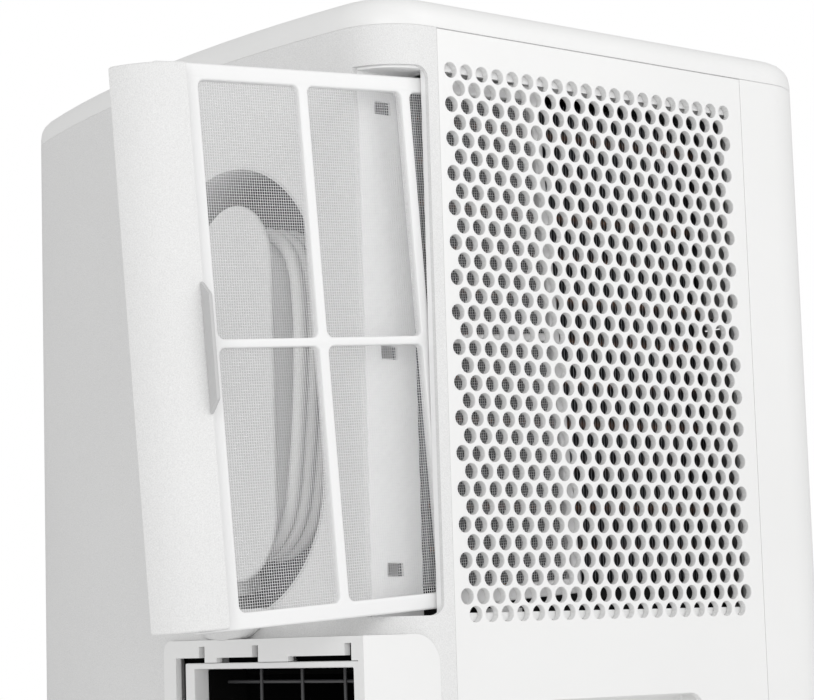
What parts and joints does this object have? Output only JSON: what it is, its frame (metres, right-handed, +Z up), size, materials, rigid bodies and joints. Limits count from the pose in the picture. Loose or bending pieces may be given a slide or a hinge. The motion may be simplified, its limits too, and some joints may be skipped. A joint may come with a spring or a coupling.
{
  "type": "portable air conditioner",
  "caption": "Floor-standing portable air conditioner on castors, with a perforated intake side, a pull-out filter, a rear cord well and a flat hose port.",
  "frame": {"origin": "on the floor, under the middle of the object's outline with the filter pulled out as stored", "axes": "+Z up, +Y to the rear face with the cord well and the hose port, -X to the perforated intake side"},
  "size_m": [0.448, 0.5461, 0.793],
  "materials": {
    "smooth_white": "satin moulded",
    "grained_white": "fine spark-eroded grain",
    "filter_white": "satin moulded",
    "filter_net": "woven nylon thread",
    "cord_white": "soft satin sheath",
    "black_plastic": "matt moulded",
    "panel_gloss": "polished",
    "foam_white": "expanded foam",
    "fin_aluminium": "rolled fins",
    "motor_steel": "zinc plated",
    "plate_steel": "galvanised sheet",
    "compressor_paint": "black enamel",
    "copper": "drawn tube",
    "rubber": "moulded"
  },
  "bodies": {
    "case": {"base_pan": "smooth_white", "rear_shell": "grained_white", "grille_panel": "smooth_white", "side_panel": "smooth_white", "front_panel": "smooth_white", "top_cap": "smooth_white", "control_panel": "panel_gloss", "handle_left": "smooth_white", "handle_right": "smooth_white", "outlet_frame": "smooth_white", "filter_bay": "grained_white", "cord_well": "grained_white", "cord_hub": "grained_white", "power_cord": "cord_white", "cord_coil": "cord_white", "mains_plug": "cord_white", "cord_gland": "cord_white", "exhaust_housing": "smooth_white", "exhaust_collar": "smooth_white", "exhaust_guard": "black_plastic", "evaporator": "fin_aluminium", "drip_tray": "black_plastic", "upper_scroll": "foam_white", "upper_motor": "motor_steel", "bulkhead": "plate_steel", "condenser": "fin_aluminium", "lower_scroll": "black_plastic", "lower_motor": "motor_steel", "compressor": "compressor_paint", "compressor_mounts": "rubber", "pipework": "copper", "control_box": "plate_steel", "screws": "motor_steel", "drain_spigot": "smooth_white"},
    "filter_shoe": {"filter_glide": "filter_white"},
    "filter": {"filter_frame": "filter_white", "filter_mesh": "filter_net", "filter_cover": "grained_white", "filter_pull": "filter_white"},
    "flap": {"outlet_flap": "smooth_white"},
    "upper_blower": {"upper_wheel": "black_plastic"},
    "lower_blower": {"lower_wheel": "black_plastic"},
    "bung": {"drain_bung": "rubber"},
    "power_key": {"power_button": "smooth_white"},
    "mode_key": {"mode_button": "smooth_white"},
    "fan_key": {"fan_button": "smooth_white"},
    "up_key": {"up_button": "smooth_white"},
    "down_key": {"down_button": "smooth_white"},
    "swing_vane_1": {"vane_1": "smooth_white"},
    "castor_1": {"castor_fork_1": "black_plastic"},
    "wheel_1": {"castor_wheel_1": "rubber"},
    "swing_vane_2": {"vane_2": "smooth_white"},
    "castor_2": {"castor_fork_2": "black_plastic"},
    "wheel_2": {"castor_wheel_2": "rubber"},
    "swing_vane_3": {"vane_3": "smooth_white"},
    "castor_3": {"castor_fork_3": "black_plastic"},
    "wheel_3": {"castor_wheel_3": "rubber"},
    "swing_vane_4": {"vane_4": "smooth_white"},
    "castor_4": {"castor_fork_4": "black_plastic"},
    "wheel_4": {"castor_wheel_4": "rubber"}
  },
  "joints": [
    {"name": "filter_slide", "type": "slide", "parent": "case", "child": "filter_shoe", "axis": [0, 1, 0], "range_m": [-0.1475, 0.044]},
    {"name": "filter_droop", "type": "hinge", "parent": "filter_shoe", "child": "filter", "pos_m": [-0.204, 0.0135, 0.431], "axis": [1, 0, 0], "range_deg": [-1.2, 3.99]},
    {"name": "flap_tilt", "type": "hinge", "parent": "case", "child": "flap", "pos_m": [0.004, -0.267, 0.63], "axis": [1, 0, 0], "range_deg": [0, 75]},
    {"name": "vane_swing_1", "type": "hinge", "parent": "case", "child": "swing_vane_1", "pos_m": [-0.104, -0.237, 0.665], "axis": [0, 0, 1], "range_deg": [-35, 35]},
    {"name": "vane_swing_2", "type": "hinge", "parent": "case", "child": "swing_vane_2", "pos_m": [-0.032, -0.237, 0.665], "axis": [0, 0, 1], "range_deg": [-35, 35]},
    {"name": "vane_swing_3", "type": "hinge", "parent": "case", "child": "swing_vane_3", "pos_m": [0.04, -0.237, 0.665], "axis": [0, 0, 1], "range_deg": [-35, 35]},
    {"name": "vane_swing_4", "type": "hinge", "parent": "case", "child": "swing_vane_4", "pos_m": [0.112, -0.237, 0.665], "axis": [0, 0, 1], "range_deg": [-35, 35]},
    {"name": "power_press", "type": "slide", "parent": "case", "child": "power_key", "axis": [0, 0, -1], "range_m": [0, 0.0015], "stiffness_N_per_m": 400, "springref_m": -0.0005},
    {"name": "mode_press", "type": "slide", "parent": "case", "child": "mode_key", "axis": [0, 0, -1], "range_m": [0, 0.0015], "stiffness_N_per_m": 400, "springref_m": -0.0005},
    {"name": "fan_press", "type": "slide", "parent": "case", "child": "fan_key", "axis": [0, 0, -1], "range_m": [0, 0.0015], "stiffness_N_per_m": 400, "springref_m": -0.0005},
    {"name": "up_press", "type": "slide", "parent": "case", "child": "up_key", "axis": [0, 0, -1], "range_m": [0, 0.0015], "stiffness_N_per_m": 400, "springref_m": -0.0005},
    {"name": "down_press", "type": "slide", "parent": "case", "child": "down_key", "axis": [0, 0, -1], "range_m": [0, 0.0015], "stiffness_N_per_m": 400, "springref_m": -0.0005},
    {"name": "upper_blower_spin", "type": "hinge", "parent": "case", "child": "upper_blower", "pos_m": [0.004, -0.072, 0.59], "axis": [1, 0, 0], "continuous": true},
    {"name": "lower_blower_spin", "type": "hinge", "parent": "case", "child": "lower_blower", "pos_m": [-0.106, -0.032, 0.296], "axis": [1, 0, 0], "continuous": true},
    {"name": "drain_bung_pull", "type": "slide", "parent": "case", "child": "bung", "axis": [0, 1, 0], "range_m": [0, 0.03]},
    {"name": "castor_swivel_1", "type": "hinge", "parent": "case", "child": "castor_1", "pos_m": [-0.161, 0.0675, 0.06], "axis": [0, 0, 1], "continuous": true},
    {"name": "castor_roll_1", "type": "hinge", "parent": "castor_1", "child": "wheel_1", "pos_m": [-0.161, 0.0815, 0.02], "axis": [1, 0, 0], "continuous": true},
    {"name": "castor_swivel_2", "type": "hinge", "parent": "case", "child": "castor_2", "pos_m": [0.169, 0.0675, 0.06], "axis": [0, 0, 1], "continuous": true},
    {"name": "castor_roll_2", "type": "hinge", "parent": "castor_2", "child": "wheel_2", "pos_m": [0.169, 0.0815, 0.02], "axis": [1, 0, 0], "continuous": true},
    {"name": "castor_swivel_3", "type": "hinge", "parent": "case", "child": "castor_3", "pos_m": [-0.161, -0.2165, 0.06], "axis": [0, 0, 1], "continuous": true},
    {"name": "castor_roll_3", "type": "hinge", "parent": "castor_3", "child": "wheel_3", "pos_m": [-0.161, -0.2025, 0.02], "axis": [1, 0, 0], "continuous": true},
    {"name": "castor_swivel_4", "type": "hinge", "parent": "case", "child": "castor_4", "pos_m": [0.169, -0.2165, 0.06], "axis": [0, 0, 1], "continuous": true},
    {"name": "castor_roll_4", "type": "hinge", "parent": "castor_4", "child": "wheel_4", "pos_m": [0.169, -0.2025, 0.02], "axis": [1, 0, 0], "continuous": true}
  ],
  "couplings": [
    {"joint": "filter_droop", "follows": "filter_slide", "rad_per_m": -0.4717},
    {"joint": "vane_swing_2", "follows": "vane_swing_1", "ratio": 1},
    {"joint": "vane_swing_3", "follows": "vane_swing_1", "ratio": 1},
    {"joint": "vane_swing_4", "follows": "vane_swing_1", "ratio": 1}
  ]
}
